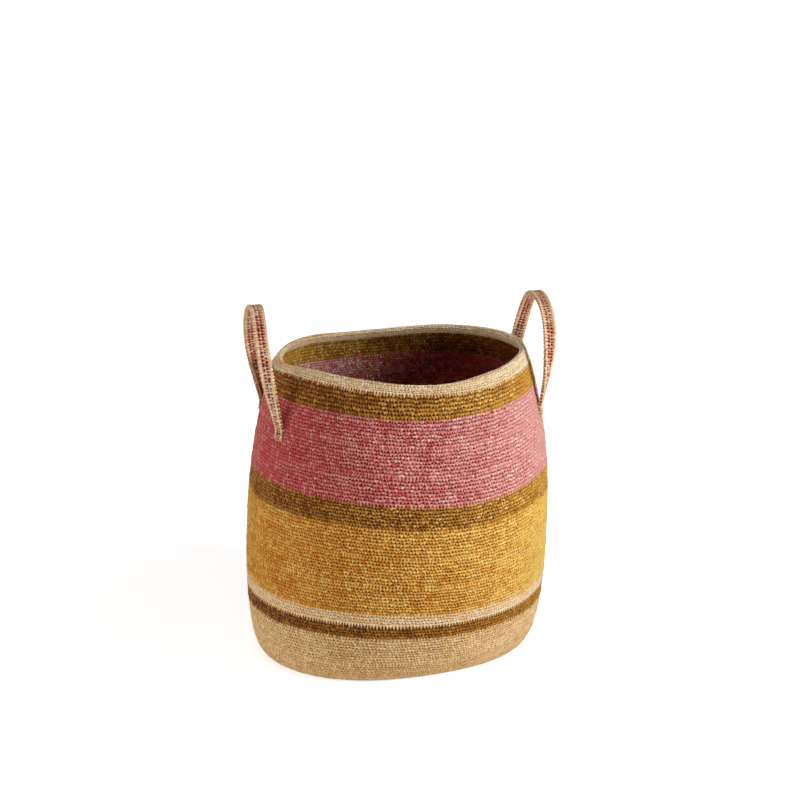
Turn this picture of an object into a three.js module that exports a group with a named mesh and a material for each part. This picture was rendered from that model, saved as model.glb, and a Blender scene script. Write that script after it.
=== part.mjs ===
// A round market basket crocheted from dyed corn husk, with two sewn-on strap handles.
// Millimetres, +Z up. The origin is on the floor under the middle of the belly.
// The handles stand on the +X (right) and -X (left) sides, and -Y is the front.
import * as THREE from 'three';

// Height of each coloured band of the wall, from the floor up
const heelBandHeight = 65;
const brownBandHeight = 16;
const creamBandHeight = 15;
const mustardBandHeight = 102;
const lowerOliveBandHeight = 26;
const pinkBandHeight = 90.5;
const upperOliveBandHeight = 22;
const rimBandHeight = 9;
const rimEdgeHeight = 3;

// Side outline: a heel curve from the floor to the belly, then a shoulder curve to the mouth
const baseRadius = 140;
const heelReach = 9;
const heelRise = 125;
const bellyRadius = 178.5;
const bellyHeight = 165;
const shoulderRise = 67;
const mouthRadius = 131;
const mouthCurlIn = 28;
const mouthCurlUp = 43;

// How far the soft, hand-worked plan leaves a circle
const baseOval = 13;
const bellyOval = -11;
const mouthOval = 11;
const basePear = -3;
const mouthPear = 5;
const mouthShift = 16;
const plumbShare = 0.45;

// How far the mouth leaves a level plane: higher at the back, and at the two handles
const mouthTilt = 0.7;
const mouthSaddle = 2.5;

// Fabric
const wallThickness = 6;
const baseThickness = 6;
const bandGap = 0.3;

// Strap handles: four crocheted courses side by side, sewn to the wall at two feet
const courseWidth = 3.4;
const courseThickness = 4;
const courseGap = 0.4;
const courseRound = 0.9;
const footLength = 8;
const footHalfAngle = 23;
const legTilt = 14;
const legRise = 90;
const archReach = 32;
const archLean = 15.5;
const twistLength = 110;
const sewingGap = 0.3;

// Where each loop springs from the wall, how high it stands, and how far round to the back it is
const rightHingeDrop = 60.5;
const rightLoopHeight = 119;
const rightSetBack = -1;
const leftHingeDrop = 68;
const leftLoopHeight = 128.5;
const leftSetBack = 7.5;

// Sewing yarn across the lower end of each foot
const seamWidth = 3;
const seamThickness = 1.4;
const seamSetUp = 1.5;
const seamOverhang = 1.2;

// Fineness of the facets
const roundSteps = 40;
const legSteps = 13;
const footSteps = 4;
const slopeStep = 0.002;
const shareTolerance = 1e-7;

const huskRoughness = 0.85;

const husk = {
  natural: 0xc9a877,
  cream: 0xd2b184,
  brown: 0x774318,
  mustard: 0xc08734,
  olive: 0x87571f,
  pink: 0xba685f,
};

const bands = [
  { name: 'heel_band', height: heelBandHeight, colour: husk.natural, steps: 9 },
  { name: 'brown_band', height: brownBandHeight, colour: husk.brown, steps: 2 },
  { name: 'cream_band', height: creamBandHeight, colour: husk.cream, steps: 2 },
  { name: 'mustard_band', height: mustardBandHeight, colour: husk.mustard, steps: 5 },
  { name: 'lower_olive_band', height: lowerOliveBandHeight, colour: husk.olive, steps: 2 },
  { name: 'pink_band', height: pinkBandHeight, colour: husk.pink, steps: 6 },
  { name: 'upper_olive_band', height: upperOliveBandHeight, colour: husk.olive, steps: 3 },
  { name: 'rim_band', height: rimBandHeight, colour: husk.natural, steps: 3 },
  { name: 'rim_edge', height: rimEdgeHeight, colour: husk.cream, steps: 2 },
];
const basketHeight = bands.reduce((total, band) => total + band.height, 0);

// Courses of a strap, from the edge that faces the basket at the top of the loop
const courses = [
  { name: 'inner_edge_course', colour: husk.cream },
  { name: 'inner_pink_course', colour: husk.pink },
  { name: 'outer_pink_course', colour: husk.pink },
  { name: 'outer_edge_course', colour: husk.cream },
];
const strapWidth = courses.length * courseWidth + (courses.length - 1) * courseGap;

// A handle's ends are named in the order in which its strap meets them, anticlockwise from above
const handles = [
  {
    side: 'right',
    angle: rightSetBack,
    hingeHeight: basketHeight - rightHingeDrop,
    loopHeight: rightLoopHeight,
    endNames: ['front', 'back'],
  },
  {
    side: 'left',
    angle: 180 - leftSetBack,
    hingeHeight: basketHeight - leftHingeDrop,
    loopHeight: leftLoopHeight,
    endNames: ['back', 'front'],
  },
];

const point2 = (radius, height) => new THREE.Vector2(radius, height);
const belly = point2(bellyRadius, bellyHeight);
const outline = new THREE.CurvePath();
outline.add(new THREE.CubicBezierCurve(
  point2(baseRadius, 0),
  point2(baseRadius + heelReach, 0),
  point2(bellyRadius, bellyHeight - heelRise),
  belly,
));
outline.add(new THREE.CubicBezierCurve(
  belly,
  point2(bellyRadius, bellyHeight + shoulderRise),
  point2(mouthRadius + mouthCurlIn, basketHeight - mouthCurlUp),
  point2(mouthRadius, basketHeight),
));

// Share of the outline's length at which the wall reaches a height
function shareAtHeight(height) {
  let low = 0;
  let high = 1;
  while (high - low > shareTolerance) {
    const middle = (low + high) / 2;
    if (outline.getPoint(middle).y < height) low = middle;
    else high = middle;
  }
  return (low + high) / 2;
}

// Point, upward tangent and outward normal of the outline
function outlineFrame(share) {
  const point = outline.getPoint(share);
  const ahead = outline.getPoint(Math.min(share + slopeStep, 1));
  const behind = outline.getPoint(Math.max(share - slopeStep, 0));
  const tangent = ahead.sub(behind).normalize();
  return { point, tangent, normal: point2(tangent.y, -tangent.x) };
}

// Outward swell of the plan at a height and an angle about the Z axis
function swell(height, angle) {
  const share = height / basketHeight;
  const low = (1 - share) ** 2;
  const high = share ** 2;
  const middle = 4 * share * (1 - share);
  const oval = baseOval * low + bellyOval * middle + mouthOval * high;
  const pear = basePear * low + mouthPear * high;
  const shift = mouthShift * (share - plumbShare);
  return oval * Math.cos(2 * angle) + pear * Math.sin(3 * angle) + shift * Math.cos(angle);
}

// Rise of a round above its level height at an angle about the Z axis
function lift(height, angle) {
  const share = height / basketHeight;
  return share ** 2 * (mouthTilt * Math.sin(angle) + mouthSaddle * Math.cos(2 * angle));
}

// A turned piece whose plan follows the basket's swell, eased to nothing at the middle of a disc
function turned(profile, easeRadius = 0) {
  const geometry = new THREE.LatheGeometry(profile, roundSteps);
  geometry.rotateX(Math.PI / 2);
  const position = geometry.attributes.position;
  for (let i = 0; i < position.count; i += 1) {
    const turn = Math.floor(i / profile.length) % roundSteps;
    const angle = (turn / roundSteps) * 2 * Math.PI;
    const { x: radius, y: height } = profile[i % profile.length];
    const eased = radius < easeRadius ? radius / easeRadius : 1;
    const swollen = radius + swell(height, angle) * eased;
    const raised = height + lift(height, angle) * eased;
    position.setXYZ(i, swollen * Math.cos(angle), swollen * Math.sin(angle), raised);
  }
  return geometry;
}

function part(name, geometry, colour) {
  const material = new THREE.MeshStandardMaterial({ color: colour, roughness: huskRoughness, metalness: 0 });
  const mesh = new THREE.Mesh(geometry, material);
  mesh.name = name;
  return mesh;
}

// Closed section of the wall between two shares of the outline, with a rounded top where asked
function wallSection(from, to, steps, roundTop) {
  const outer = [];
  const inner = [];
  for (let i = 0; i <= steps; i += 1) {
    const { point, normal } = outlineFrame(from + ((to - from) * i) / steps);
    outer.push(point);
    inner.unshift(point.clone().addScaledVector(normal, -wallThickness));
  }
  const crown = [];
  if (roundTop) {
    const { point, tangent, normal } = outlineFrame(to);
    const half = wallThickness / 2;
    for (const turn of [Math.PI / 4, 0, -Math.PI / 4]) {
      const corner = point.clone().addScaledVector(normal, half * Math.sin(turn) - half);
      crown.push(corner.addScaledVector(tangent, half * Math.cos(turn)));
    }
  }
  return [...outer, ...crown, ...inner, outer[0]];
}

function buildWall(basket) {
  const gapShare = bandGap / outline.getLength();
  let bottom = 0;
  bands.forEach((band, index) => {
    const top = bottom + band.height;
    const isFirst = index === 0;
    const isLast = index === bands.length - 1;
    const from = isFirst ? 0 : shareAtHeight(bottom) + gapShare / 2;
    const to = isLast ? 1 : shareAtHeight(top) - gapShare / 2;
    const ring = turned(wallSection(from, to, band.steps, isLast));
    basket.add(part(band.name, ring, band.colour));
    bottom = top;
  });
}

// The base is a flat round whose edge butts against the start of the heel
function buildBase(basket) {
  const { point, tangent, normal } = outlineFrame(0);
  const lowerEdge = point.clone().addScaledVector(tangent, -bandGap);
  lowerEdge.y = 0;
  const upperEdge = lowerEdge.clone().addScaledVector(normal, -baseThickness);
  const profile = [point2(0, 0), lowerEdge, upperEdge, point2(0, upperEdge.y)];
  basket.add(part('base_disc', turned(profile, upperEdge.x), husk.natural));
}

// Point on the outside of the wall
function wallSurface(angle, height) {
  const radius = outline.getPoint(shareAtHeight(height)).x + swell(height, angle);
  const raised = height + lift(height, angle);
  return new THREE.Vector3(radius * Math.cos(angle), radius * Math.sin(angle), raised);
}

// Directions of the wall at a point: along the round and out of the wall
function wallDirections(angle, height) {
  const before = wallSurface(angle - slopeStep, height);
  const around = wallSurface(angle + slopeStep, height).sub(before).normalize();
  const below = wallSurface(angle, height - 1);
  const upward = wallSurface(angle, height + 1).sub(below).normalize();
  return { around, outward: around.clone().cross(upward).normalize() };
}

// A closed mesh from rings of points, each ring running anticlockwise when seen against the sweep
function sweep(rings) {
  const count = rings[0].length;
  const corners = rings.flat();
  const index = [];
  for (let ring = 0; ring < rings.length - 1; ring += 1) {
    for (let k = 0; k < count; k += 1) {
      const a = ring * count + k;
      const b = ring * count + ((k + 1) % count);
      index.push(a, b, b + count, a, b + count, a + count);
    }
  }
  const last = (rings.length - 1) * count;
  for (let k = 1; k < count - 1; k += 1) {
    index.push(0, k + 1, k);
    index.push(last, last + k, last + k + 1);
  }
  const geometry = new THREE.BufferGeometry().setFromPoints(corners);
  geometry.setIndex(index);
  return geometry;
}

// Corners of one course's section, across the strap (x) and through it (y)
function courseSection(centre) {
  const x = courseWidth / 2;
  const y = courseThickness / 2;
  const r = courseRound;
  const rightCorners = [[x - r, y], [x, y - r], [x, r - y], [x - r, -y]];
  const leftCorners = [[r - x, -y], [-x, r - y], [-x, y - r], [r - x, y]];
  return [...rightCorners, ...leftCorners].map(([across, through]) => point2(centre + across, through));
}

// A patch lying on the wall, between two heights and two stand-off distances
function wallPatch(angle, lowHeight, highHeight, width, standOff, thickness) {
  const rings = [];
  for (let i = 0; i <= footSteps; i += 1) {
    const radius = wallSurface(angle, highHeight).setZ(0).length();
    const local = angle + (width * (i / footSteps - 0.5)) / radius;
    const at = (height, distance) => wallSurface(local, height)
      .addScaledVector(wallDirections(local, height).outward, distance);
    rings.push([
      at(lowHeight, standOff),
      at(highHeight, standOff),
      at(highHeight, standOff + thickness),
      at(lowHeight, standOff + thickness),
    ]);
  }
  return sweep(rings);
}

// Path and width directions of a strap, from one foot over the arch to the other
function strapFrame({ angle: centre, hingeHeight, loopHeight }) {
  const angles = [-1, 1].map((end) => THREE.MathUtils.degToRad(centre + end * footHalfAngle));
  const up = new THREE.Vector3(0, 0, 1);
  const feet = angles.map((angle) => {
    const directions = wallDirections(angle, hingeHeight);
    const standOff = sewingGap + courseThickness / 2;
    const start = wallSurface(angle, hingeHeight).addScaledVector(directions.outward, standOff);
    return { angle, directions, start };
  });
  const chord = feet[1].start.clone().sub(feet[0].start).setZ(0).normalize();
  const out = chord.clone().cross(up);
  const tilt = THREE.MathUtils.degToRad(legTilt);
  const rise = up.clone().multiplyScalar(Math.cos(tilt)).addScaledVector(out, Math.sin(tilt));
  const middle = feet[0].start.clone().lerp(feet[1].start, 0.5);
  const top = middle.addScaledVector(out, archLean).setZ(hingeHeight + loopHeight);
  const path = new THREE.CurvePath();
  path.add(new THREE.CubicBezierCurve3(
    feet[0].start,
    feet[0].start.clone().addScaledVector(rise, legRise),
    top.clone().addScaledVector(chord, -archReach),
    top,
  ));
  path.add(new THREE.CubicBezierCurve3(
    top,
    top.clone().addScaledVector(chord, archReach),
    feet[1].start.clone().addScaledVector(rise, legRise),
    feet[1].start,
  ));
  return { feet, chord, out, path };
}

// Centre, width and thickness directions at a share of the strap's length
function strapSection(strap, share) {
  const length = strap.path.getLength();
  const centre = strap.path.getPoint(share);
  const ahead = strap.path.getPoint(Math.min(share + slopeStep, 1));
  const behind = strap.path.getPoint(Math.max(share - slopeStep, 0));
  const along = ahead.sub(behind).normalize();
  const nearFoot = share < 0.5 ? strap.feet[0] : strap.feet[1];
  const footWidth = nearFoot.directions.around.clone().multiplyScalar(share < 0.5 ? 1 : -1);
  const twist = THREE.MathUtils.smoothstep(Math.min(share, 1 - share) * length, 0, twistLength);
  const width = footWidth.lerp(strap.out, twist);
  width.addScaledVector(along, -width.dot(along)).normalize();
  return { centre, width, through: width.clone().cross(along) };
}

function buildCourses(loop, side, strap) {
  const steps = 2 * legSteps;
  courses.forEach(({ name, colour }, index) => {
    const section = courseSection((index - (courses.length - 1) / 2) * (courseWidth + courseGap));
    const rings = [];
    for (let i = 0; i <= steps; i += 1) {
      const { centre, width, through } = strapSection(strap, i / steps);
      rings.push(section.map((corner) => centre.clone()
        .addScaledVector(width, corner.x)
        .addScaledVector(through, corner.y)));
    }
    loop.add(part(`${side}_handle_${name}`, sweep(rings), colour));
  });
}

// Feet lie flat on the wall, and stop just below the end of the loop that bends away from them
function buildFeet(basket, { side, hingeHeight, endNames }, strap) {
  strap.feet.forEach((foot, index) => {
    const { width, through } = strapSection(strap, index);
    const sag = Math.abs(through.z) * courseThickness + Math.abs(width.z) * strapWidth;
    const lowest = foot.start.z - sag / 2;
    const { around, outward } = foot.directions;
    const crown = outward.z * (sewingGap + courseThickness) + (Math.abs(around.z) * strapWidth) / 2;
    const footTop = lowest - sewingGap - crown - lift(hingeHeight, foot.angle);
    const footBottom = footTop - footLength;
    const name = `${side}_${endNames[index]}`;
    const pad = wallPatch(foot.angle, footBottom, footTop, strapWidth, sewingGap, courseThickness);
    basket.add(part(`${name}_foot`, pad, husk.pink));
    const seamBottom = footBottom + seamSetUp;
    const seamTop = seamBottom + seamWidth;
    const seamLength = strapWidth + 2 * seamOverhang;
    const standOff = 2 * sewingGap + courseThickness;
    const yarn = wallPatch(foot.angle, seamBottom, seamTop, seamLength, standOff, seamThickness);
    basket.add(part(`${name}_foot_seam`, yarn, husk.cream));
  });
}

// The loop folds about a line along its outermost lower edge, so it opens away from its feet
function hingeLine(strap) {
  const middle = strap.feet[0].start.clone().lerp(strap.feet[1].start, 0.5);
  let reach = 0;
  let lowest = Infinity;
  [0, 1].forEach((end) => {
    const { centre, width, through } = strapSection(strap, end);
    for (const across of [-strapWidth / 2, strapWidth / 2]) {
      const corner = centre.clone().addScaledVector(width, across);
      corner.addScaledVector(through, courseThickness / 2);
      reach = Math.max(reach, corner.clone().sub(middle).dot(strap.out));
      lowest = Math.min(lowest, corner.z);
    }
  });
  return { point: middle.addScaledVector(strap.out, reach).setZ(lowest), axis: strap.chord };
}

function buildHandle(basket, handle) {
  const strap = strapFrame(handle);
  const loop = new THREE.Group();
  loop.name = `${handle.side}_handle`;
  loop.userData.hinge = hingeLine(strap);
  buildCourses(loop, handle.side, strap);
  buildFeet(basket, handle, strap);
  basket.add(loop);
}

const basket = new THREE.Group();
basket.name = 'corn_husk_basket';
buildBase(basket);
buildWall(basket);
handles.forEach((handle) => buildHandle(basket, handle));

export default basket;
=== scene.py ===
# %% [markdown]
# # A crocheted corn husk basket
# The real basket is worked in rounds with a hook, from strips of corn husk twisted into yarn.
# Its wall is thousands of small stitches, so this lesson models one stitch and lays it over the
# basket's shape, round by round. The imported solids give the frame that every piece keeps to.

# %% Load the frame
import math
import bpy
import numpy as np
from mathutils import Color, Matrix, Vector


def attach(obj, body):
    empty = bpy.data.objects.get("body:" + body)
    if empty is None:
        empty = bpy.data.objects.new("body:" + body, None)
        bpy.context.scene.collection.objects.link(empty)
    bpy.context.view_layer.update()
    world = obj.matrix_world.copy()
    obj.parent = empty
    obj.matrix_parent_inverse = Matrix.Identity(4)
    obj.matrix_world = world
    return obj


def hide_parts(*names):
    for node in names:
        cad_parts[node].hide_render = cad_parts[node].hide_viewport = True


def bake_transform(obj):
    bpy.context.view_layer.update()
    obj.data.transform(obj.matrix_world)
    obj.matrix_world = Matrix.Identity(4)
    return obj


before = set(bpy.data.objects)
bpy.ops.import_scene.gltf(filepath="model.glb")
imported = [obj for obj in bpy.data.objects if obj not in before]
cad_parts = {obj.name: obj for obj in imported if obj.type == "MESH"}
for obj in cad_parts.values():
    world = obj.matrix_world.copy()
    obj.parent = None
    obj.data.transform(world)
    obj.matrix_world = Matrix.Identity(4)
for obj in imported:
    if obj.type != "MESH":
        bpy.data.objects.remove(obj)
bpy.ops.object.select_all(action="DESELECT")
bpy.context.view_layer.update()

# %% [markdown]
# ## The camera
# A product photographer stands back and uses a long lens, so that a round basket keeps its shape.
# The camera is aimed a little above the middle of the basket instead of being shifted, because a
# turned camera keeps its framing when it is moved round the object later.

# %% Place the camera
IMAGE_SIZE = 800
FOCAL_PIXELS = 2166.3
SENSOR_WIDTH = 36
CAMERA_AZIMUTH = math.radians(-17.5)
CAMERA_ELEVATION = math.radians(18.88)
CAMERA_DISTANCE = 2.5346
LOOK_POINT = Vector((0, 0, 0.1755))
LOOK_PIXEL = (397.3, 495.6)


def camera_matrix():
    """Where the camera stands, turned so that the look point falls on its pixel."""
    level = math.cos(CAMERA_ELEVATION)
    back = Vector((
        math.sin(CAMERA_AZIMUTH) * level,
        -math.cos(CAMERA_AZIMUTH) * level,
        math.sin(CAMERA_ELEVATION),
    ))
    right = Vector((math.cos(CAMERA_AZIMUTH), math.sin(CAMERA_AZIMUTH), 0))
    up = back.cross(right)
    place = LOOK_POINT + back * CAMERA_DISTANCE
    pitch = math.atan((LOOK_PIXEL[1] - IMAGE_SIZE / 2) / FOCAL_PIXELS)
    yaw = math.atan((LOOK_PIXEL[0] - IMAGE_SIZE / 2) / FOCAL_PIXELS)
    turned = Matrix((right, up, back)).transposed().to_4x4()
    turned = turned @ Matrix.Rotation(pitch, 4, "X") @ Matrix.Rotation(yaw, 4, "Y")
    return Matrix.Translation(place) @ turned


bpy.ops.object.camera_add()
camera = bpy.context.object
camera.name = "photo_camera"
camera.matrix_world = camera_matrix()
camera.data.sensor_width = SENSOR_WIDTH
camera.data.lens = FOCAL_PIXELS / IMAGE_SIZE * SENSOR_WIDTH
camera.data.dof.use_dof = False
bpy.context.scene.camera = camera
bpy.context.scene.view_settings.view_transform = "Standard"
print("camera: lens", round(camera.data.lens, 1), "mm at", [round(v, 3) for v in camera.location])

# %% [markdown]
# ## Shader maths as expressions
# A material is a web of nodes. This small class wraps one socket, so that sums of sockets read as
# ordinary arithmetic and any other node comes from one method. A Mix node has sockets for every
# kind of value, so the numbers of those for colours are named here.

# %% A socket that does arithmetic
MIX_FACTOR = 0
MIX_FIRST = 6
MIX_SECOND = 7
MIX_RESULT = 2


class Socket:
    """One output socket of a node tree, with the arithmetic that the finishes use."""

    def __init__(self, tree, socket=None):
        self.tree = tree
        self.socket = socket

    def node(self, kind, settings=None, sockets=None, output=0):
        """Adds a node, sets it up, fills or links its inputs, and returns one of its outputs."""
        made = self.tree.nodes.new(kind)
        for name, value in (settings or {}).items():
            setattr(made, name, value)
        for name, value in (sockets or {}).items():
            if isinstance(value, Socket):
                self.tree.links.new(value.socket, made.inputs[name])
            else:
                made.inputs[name].default_value = value
        return Socket(self.tree, made.outputs[output])

    def maths(self, operation, first, second):
        """The result of a Math node on two values."""
        return self.node("ShaderNodeMath", {"operation": operation}, {0: first, 1: second})

    def __add__(self, other):
        return self.maths("ADD", self, other)

    def __radd__(self, other):
        return self.maths("ADD", other, self)

    def __sub__(self, other):
        return self.maths("SUBTRACT", self, other)

    def __rsub__(self, other):
        return self.maths("SUBTRACT", other, self)

    def __mul__(self, other):
        return self.maths("MULTIPLY", self, other)

    def __rmul__(self, other):
        return self.maths("MULTIPLY", other, self)

    def mix(self, first, second):
        """A colour between two others, with this socket as the share of the second."""
        settings = {"data_type": "RGBA", "clamp_factor": True}
        sockets = {MIX_FACTOR: self, MIX_FIRST: first, MIX_SECOND: second}
        return self.node("ShaderNodeMix", settings, sockets, MIX_RESULT)


print("socket class ready")

# %% [markdown]
# ## The floor
# The studio is a white sweep. Its floor shows lighter to the camera than it is, so that it meets the
# white background, and less so near the basket, where it has to keep the shadow. Rays of light on
# their way to the basket see only the plain pale floor, so the glow doesn't light the basket.

# %% Floor
FLOOR_SIZE = 60
FLOOR_GREY = 0.85
NEAR_GLOW = 0.68
FAR_GLOW = 0.98
GLOW_REACH = 1.8
SEEN_RAYS = ("Is Camera Ray", "Is Glossy Ray", "Is Transmission Ray")


def grey(level):
    """A grey from 0, black, to 1, white."""
    return (level, level, level, 1)


def seen_directly(tree):
    """1 for what the camera sees, straight or through a reflection, and 0 for light on its way."""
    start = Socket(tree)
    straight, mirrored, through = (
        start.node("ShaderNodeLightPath", output=ray) for ray in SEEN_RAYS
    )
    return straight + mirrored + through


def paint_floor():
    """A pale matte floor that glows a little, only towards the camera."""
    material = bpy.data.materials.new("studio_floor")
    material.use_nodes = True
    tree = material.node_tree
    shader = tree.nodes["Principled BSDF"]
    shader.inputs["Base Color"].default_value = grey(FLOOR_GREY)
    shader.inputs["Roughness"].default_value = 1
    shader.inputs["Specular IOR Level"].default_value = 0
    shader.inputs["Emission Strength"].default_value = 1
    place = Socket(tree).node("ShaderNodeTexCoord", output="Object")
    away = place.node("ShaderNodeVectorMath", {"operation": "LENGTH"}, {0: place}, "Value")
    white = (away * (1 / GLOW_REACH)).mix(grey(NEAR_GLOW), grey(FAR_GLOW))
    glow = seen_directly(tree).mix(grey(0), white)
    tree.links.new(glow.socket, shader.inputs["Emission Color"])
    return material


bpy.ops.mesh.primitive_plane_add(size=FLOOR_SIZE)
floor = bpy.context.object
floor.name = "studio_floor"
floor.data.materials.append(paint_floor())
print("floor:", FLOOR_SIZE, "m wide")

# %% [markdown]
# ## The background
# The world is white where the camera looks at it. As a lamp it would wash out the dark of the mouth,
# so to everything but the camera it is almost black, and the softboxes do the lighting.

# %% Background
WORLD_LIGHT = 0.02


def light_world():
    """White to the camera, and a dim white to everything else."""
    world = bpy.data.worlds.new("studio")
    world.use_nodes = True
    tree = world.node_tree
    background = tree.nodes["Background"]
    background.inputs["Color"].default_value = grey(1)
    strength = seen_directly(tree) * (1 - WORLD_LIGHT) + WORLD_LIGHT
    tree.links.new(strength.socket, background.inputs["Strength"])
    bpy.context.scene.world = world


light_world()
print("world light:", WORLD_LIGHT)

# %% [markdown]
# ## Softboxes
# A softbox is a lamp behind a sheet of white cloth. The main one stands on the right, a weaker one far
# on the left and a low, wide one in front. The low ones reach the wall and not the mouth, so its far
# side stays dark. A weak one overhead and one behind keep the top and the back from going black.

# %% Softboxes
# Name, azimuth and elevation in degrees, distance, width and height in metres, and power in watts
SOFTBOXES = (
    ("key_softbox", 46, 24, 2.4, 0.7, 0.7, 36),
    ("left_softbox", -100, 9, 2.6, 1.4, 0.8, 24),
    ("front_softbox", -18, 2, 2.8, 1.8, 0.5, 23),
    ("top_softbox", -30, 72, 2.4, 1, 1, 9),
    ("back_softbox", 180, 3, 2.8, 1.8, 0.5, 12),
)


def add_softbox(name, azimuth, elevation, distance, width, height, power):
    """A lamp that faces the basket. Azimuth 0 is in front of it and 90 on its right."""
    turn = math.radians(azimuth)
    rise = math.radians(elevation)
    away = Vector((
        math.sin(turn) * math.cos(rise),
        -math.cos(turn) * math.cos(rise),
        math.sin(rise),
    ))
    bpy.ops.object.light_add(type="AREA", location=LOOK_POINT + away * distance)
    lamp = bpy.context.object
    lamp.name = name
    lamp.rotation_mode = "QUATERNION"
    lamp.rotation_quaternion = away.to_track_quat("Z", "Y")
    lamp.data.shape = "RECTANGLE"
    lamp.data.size = width
    lamp.data.size_y = height
    lamp.data.energy = power


for softbox in SOFTBOXES:
    add_softbox(*softbox)
print("studio:", len(SOFTBOXES), "softboxes")

# %% [markdown]
# ## Curves and distances
# A curve of a drawing program has two ends and two handles, and a few of them draw the whole basket.
# The helpers here give a curve's points, measure along a path, and read off any place on it.

# %% Curve tools
CURVE_POINTS = 400


def bezier(*corners, count=CURVE_POINTS):
    """Points of a cubic curve with four control points."""
    t = np.linspace(0, 1, count)[:, None]
    a, b, c, d = (np.array(corner, float) for corner in corners)
    return (1 - t) ** 3 * a + 3 * (1 - t) ** 2 * t * b + 3 * (1 - t) * t ** 2 * c + t ** 3 * d


def distances(points):
    """How far along a path each of its points lies."""
    return np.concatenate([[0], np.cumsum(np.linalg.norm(np.diff(points, axis=0), axis=1))])


def read_off(at, known, values):
    """Points or directions at some distances along a path, between those that are known."""
    return np.stack([np.interp(at, known, values[:, k]) for k in range(values.shape[1])], -1)


def unit(vector):
    """A direction of length 1."""
    return vector / np.linalg.norm(vector, axis=-1, keepdims=True)


print("curves of", CURVE_POINTS, "points")

# %% [markdown]
# ## The basket's shape
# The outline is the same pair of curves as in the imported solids: a heel that rises from the flat
# base to the belly, and a shoulder that draws in to the mouth. Distances along it are measured from
# the middle of the base, so that rounds of stitches can be spaced evenly from there to the rim.

# %% Outline
BASE_RADIUS = 0.140
HEEL_REACH = 0.009
HEEL_RISE = 0.125
BELLY_RADIUS = 0.1785
BELLY_HEIGHT = 0.165
SHOULDER_RISE = 0.067
MOUTH_RADIUS = 0.131
MOUTH_CURL_IN = 0.028
MOUTH_CURL_UP = 0.043
WALL_HEIGHT = 0.3485
WALL_THICKNESS = 0.006
FLAT_POINTS = 50

flat = np.linspace((0, 0), (BASE_RADIUS, 0), FLAT_POINTS)
heel = bezier(
    (BASE_RADIUS, 0),
    (BASE_RADIUS + HEEL_REACH, 0),
    (BELLY_RADIUS, BELLY_HEIGHT - HEEL_RISE),
    (BELLY_RADIUS, BELLY_HEIGHT),
)
shoulder = bezier(
    (BELLY_RADIUS, BELLY_HEIGHT),
    (BELLY_RADIUS, BELLY_HEIGHT + SHOULDER_RISE),
    (MOUTH_RADIUS + MOUTH_CURL_IN, WALL_HEIGHT - MOUTH_CURL_UP),
    (MOUTH_RADIUS, WALL_HEIGHT),
)
outline = np.concatenate([flat, heel[1:], shoulder[1:]])
reach = distances(outline)
slope = unit(np.gradient(outline, reach, axis=0))


def on_outline(distance):
    """Radius and height, and the outward normal, at distances along the outline."""
    point = read_off(distance, reach, outline)
    along = unit(read_off(distance, reach, slope))
    return point, np.stack([along[..., 1], -along[..., 0]], -1)


def reach_at(height):
    """Distance along the outline at which the wall is at a height."""
    wall = len(flat) - 1
    return float(np.interp(height, outline[wall:, 1], reach[wall:]))


print("outline:", round(float(reach[-1]), 3), "m from the middle of the base to the rim")

# %% [markdown]
# ## How the soft plan leaves a circle
# No hand-made basket is round. Its base and mouth are ovals, its belly bulges to the front and back,
# and its mouth tips a little. The rounds also ride up and down by a millimetre or two, the mouth's
# edge sags at its left end and the soft wall has shallow dents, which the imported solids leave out.

# %% Ovals and sags
BASE_OVAL = 0.013
BELLY_OVAL = -0.011
MOUTH_OVAL = 0.011
BASE_PEAR = -0.003
MOUTH_PEAR = 0.005
MOUTH_SHIFT = 0.016
PLUMB_SHARE = 0.45
MOUTH_TILT = 0.0007
MOUTH_SADDLE = 0.0025
ROUND_WAVE = 0.0016
WAVE_COUNT = 4
WAVE_START = math.radians(107.5)
SAG_HEIGHTS = (0.270, 0.3145, 0.3365, 0.3485)
# Angle in degrees, narrowness, and how far the wall is lifted at each of the heights above
SAGS = (
    (172, 30, (0, -0.0020, -0.0003, -0.0070)),
    (218, 4, (0, 0, 0.0045, 0)),
    (282, 8, (0, 0, 0, -0.0038)),
)
LEFT_END = SAGS[0]
LEFT_BULGE = 0.003


def near(angle, degrees, narrowness):
    """1 at one angle of the wall, falling away to both sides of it."""
    return ((1 + np.cos(angle - math.radians(degrees))) / 2) ** narrowness


def amid(share):
    """1 halfway up the wall, and 0 at its base and its rim."""
    return 4 * share * (1 - share)


def swell(height, angle):
    """How far the plan stands outside its circle."""
    share = height / WALL_HEIGHT
    low, high, middle = (1 - share) ** 2, share ** 2, amid(share)
    oval = BASE_OVAL * low + BELLY_OVAL * middle + MOUTH_OVAL * high
    pear = BASE_PEAR * low + MOUTH_PEAR * high
    shift = MOUTH_SHIFT * (share - PLUMB_SHARE)
    bulge = near(angle, *LEFT_END[:2]) * np.interp(height, SAG_HEIGHTS[1:3], (0, LEFT_BULGE))
    return oval * np.cos(2 * angle) + pear * np.sin(3 * angle) + shift * np.cos(angle) + bulge


def lift(height, angle):
    """How far a round rises above its level height."""
    share = height / WALL_HEIGHT
    tilt = MOUTH_TILT * np.sin(angle) + MOUTH_SADDLE * np.cos(2 * angle)
    wave = -ROUND_WAVE * np.sin(WAVE_COUNT * (angle + WAVE_START)) * np.clip(amid(share), 0, 1)
    sag = sum(
        near(angle, degrees, narrowness) * np.interp(height, SAG_HEIGHTS, lifts)
        for degrees, narrowness, lifts in SAGS
    )
    return share ** 2 * tilt + wave + sag


print("plan: belly", round(2 * (BELLY_RADIUS - BELLY_OVAL), 3), "m from front to back")

# %% [markdown]
# ## Dents, and the way from outline to basket
# A soft wall takes shallow dents from every hand that lifts it. A few waves of different length,
# added up, give dents with no pattern to see. The last function puts all of this together: it takes
# a place on the outline, with a stitch's own height above it, to its point on the basket.

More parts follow.
